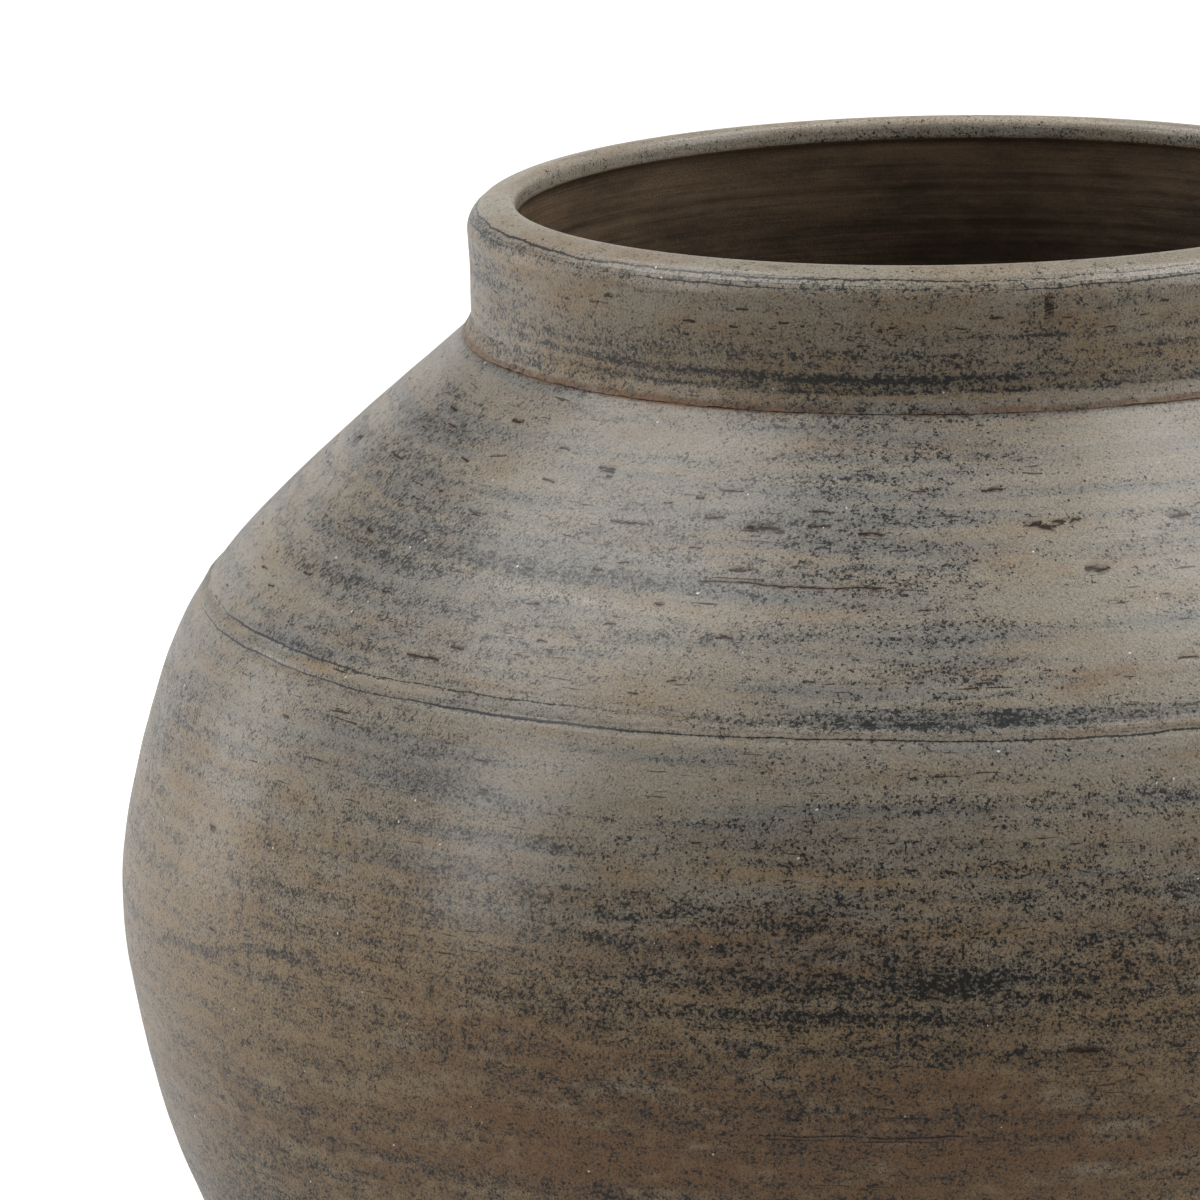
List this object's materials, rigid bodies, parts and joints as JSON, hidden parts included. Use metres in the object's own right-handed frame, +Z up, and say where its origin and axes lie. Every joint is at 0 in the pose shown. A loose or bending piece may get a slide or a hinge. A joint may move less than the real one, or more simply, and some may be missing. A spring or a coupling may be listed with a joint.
{
  "type": "vase",
  "caption": "Round, wide-shouldered earthenware vase with a short upright neck and a rolled lip, built from luted thrown sections; holds stems or branches.",
  "frame": {"origin": "centre of the foot, on the surface that the vase stands on", "axes": "+Z up along the vase's axis, towards the mouth; +X and +Y are any two square directions round it, and the picture looks along +Y"},
  "size_m": [0.3348, 0.3348, 0.285],
  "materials": {
    "clay": "unglazed earthenware, satin, with a worn dark wash in speckles and bands",
    "band_clay": "unglazed earthenware smeared over the joints, a little browner",
    "slip": "fired luting slip, matt dark brown"
  },
  "bodies": {
    "root": {"base_slab": "clay", "base_slip_ring": "slip", "base_corner_coil": "band_clay", "lower_wall": "clay", "shoulder_slip_ring": "slip", "shoulder_wall": "clay", "shoulder_seam_band": "band_clay", "neck_slip_ring": "slip", "neck_collar": "clay", "neck_fillet": "band_clay"}
  },
  "joints": []
}
